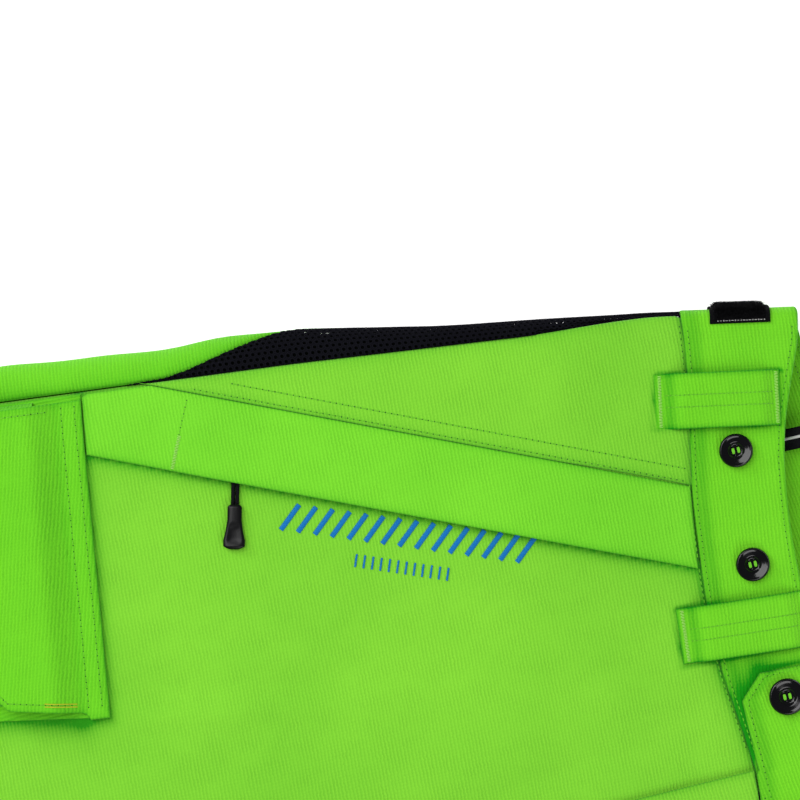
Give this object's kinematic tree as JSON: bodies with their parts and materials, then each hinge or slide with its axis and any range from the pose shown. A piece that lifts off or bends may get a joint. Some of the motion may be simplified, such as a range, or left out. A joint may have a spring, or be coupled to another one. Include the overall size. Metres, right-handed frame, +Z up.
{
  "type": "chainsaw trousers",
  "caption": "Bright green stretch chainsaw trousers lying face up, with cut-protection legs, mesh side vents, zip hand pockets, flapped thigh pockets, belt loops and brace buttons.",
  "frame": {"origin": "on the ground, under the middle of the whole garment", "axes": "+X from the hems to the waist, +Y to the wearer's right, +Z up, out of the front"},
  "size_m": [1.1094, 0.5932, 0.0534],
  "materials": {
    "lime_cloth": "matte, fine zig-zag rib",
    "black_open_mesh": "matte, open hexagonal mesh",
    "cut_protection": "matte, warp-knitted layers",
    "lining_cloth": "matte",
    "loop_pile": "matte, brushed loop pile",
    "hook_tape": "matte, fine hooks",
    "black_button": "gloss",
    "pocket_bag_cloth": "matte",
    "black_zip": "matte, with moulded teeth",
    "zip_metal": "satin",
    "black_cord": "matte, braided",
    "black_plastic": "satin",
    "black_cloth": "matte, plain weave"
  },
  "bodies": {
    "root": {"front_leg_right": "lime_cloth", "back_leg_right": "lime_cloth", "vent_panel_right": "black_open_mesh", "cut_pack_outer_right": "cut_protection", "cut_pack_inner_right": "cut_protection", "lining_right": "lining_cloth", "waist_patch_right": "loop_pile", "belt_loop_right_1": "lime_cloth", "belt_loop_right_2": "lime_cloth", "brace_button_right_1": "black_button", "brace_button_right_2": "black_button", "pocket_cover_right": "lime_cloth", "pocket_bag_right": "pocket_bag_cloth", "pocket_zip_tape_right": "black_zip", "thigh_pocket_right": "lime_cloth", "pocket_loop_tape_right": "loop_pile", "ankle_patch_right": "black_cloth", "hook_tab_right": "black_cloth", "front_leg_left": "lime_cloth", "back_leg_left": "lime_cloth", "vent_panel_left": "black_open_mesh", "cut_pack_outer_left": "cut_protection", "cut_pack_inner_left": "cut_protection", "lining_left": "lining_cloth", "waist_patch_left": "loop_pile", "belt_loop_left_1": "lime_cloth", "belt_loop_left_2": "lime_cloth", "brace_button_left_1": "black_button", "brace_button_left_2": "black_button", "pocket_cover_left": "lime_cloth", "pocket_bag_left": "pocket_bag_cloth", "pocket_zip_tape_left": "black_zip", "thigh_pocket_left": "lime_cloth", "pocket_loop_tape_left": "loop_pile", "ankle_patch_left": "black_cloth", "hook_tab_left": "black_cloth", "waistband_right": "lime_cloth", "waistband_left": "lime_cloth", "waistband_back": "lime_cloth", "belt_loop_back_1": "lime_cloth", "belt_loop_back_2": "lime_cloth", "belt_loop_back_3": "lime_cloth", "waist_button": "black_button", "fly_cover": "lime_cloth", "fly_zip_tape": "black_zip", "rear_pocket": "lime_cloth", "hanger_loop": "black_cloth"},
    "pocket_slider_right": {"pocket_zip_slider_right": "zip_metal"},
    "pocket_pull_right": {"pull_cord_right": "black_cord", "pull_grip_right": "black_plastic"},
    "thigh_flap_right": {"thigh_flap_right": "lime_cloth", "flap_hook_tape_right": "hook_tape"},
    "lace_hook_right": {"lace_hook_right": "zip_metal"},
    "pocket_slider_left": {"pocket_zip_slider_left": "zip_metal"},
    "pocket_pull_left": {"pull_cord_left": "black_cord", "pull_grip_left": "black_plastic"},
    "thigh_flap_left": {"thigh_flap_left": "lime_cloth", "flap_hook_tape_left": "hook_tape"},
    "lace_hook_left": {"lace_hook_left": "zip_metal"},
    "fly_slider": {"fly_zip_slider": "zip_metal"}
  },
  "joints": [
    {"name": "pocket_zip_slide_right", "type": "slide", "parent": "root", "child": "pocket_slider_right", "axis": [0.9124, -0.4067, -0.0465], "range_m": [-0.006, 0.168]},
    {"name": "pocket_pull_swing_right", "type": "hinge", "parent": "pocket_slider_right", "child": "pocket_pull_right", "pos_m": [0.2486, 0.21327, 0.03883], "axis": [0.051, 0, 0.9987], "range_deg": [-40, 40]},
    {"name": "thigh_flap_hinge_right", "type": "hinge", "parent": "root", "child": "thigh_flap_right", "pos_m": [0.15757, 0.1839, 0.04323], "axis": [0.1375, 0.9905, -0.0024], "range_deg": [0, 120]},
    {"name": "lace_hook_swing_right", "type": "hinge", "parent": "root", "child": "lace_hook_right", "pos_m": [-0.53795, 0.181, 0.031], "axis": [0, 1, 0], "range_deg": [-60, 60]},
    {"name": "pocket_zip_slide_left", "type": "slide", "parent": "root", "child": "pocket_slider_left", "axis": [0.9124, 0.4067, -0.0465], "range_m": [-0.006, 0.168]},
    {"name": "pocket_pull_swing_left", "type": "hinge", "parent": "pocket_slider_left", "child": "pocket_pull_left", "pos_m": [0.2486, -0.21327, 0.03883], "axis": [0.051, 0, 0.9987], "range_deg": [-40, 40]},
    {"name": "thigh_flap_hinge_left", "type": "hinge", "parent": "root", "child": "thigh_flap_left", "pos_m": [0.15757, -0.1839, 0.04323], "axis": [-0.1375, 0.9905, 0.0024], "range_deg": [0, 120]},
    {"name": "lace_hook_swing_left", "type": "hinge", "parent": "root", "child": "lace_hook_left", "pos_m": [-0.53795, -0.181, 0.031], "axis": [0, 1, 0], "range_deg": [-60, 60]},
    {"name": "fly_zip_slide", "type": "slide", "parent": "root", "child": "fly_slider", "axis": [0.9987, 0, -0.051], "range_m": [-0.122, 0.004]}
  ]
}
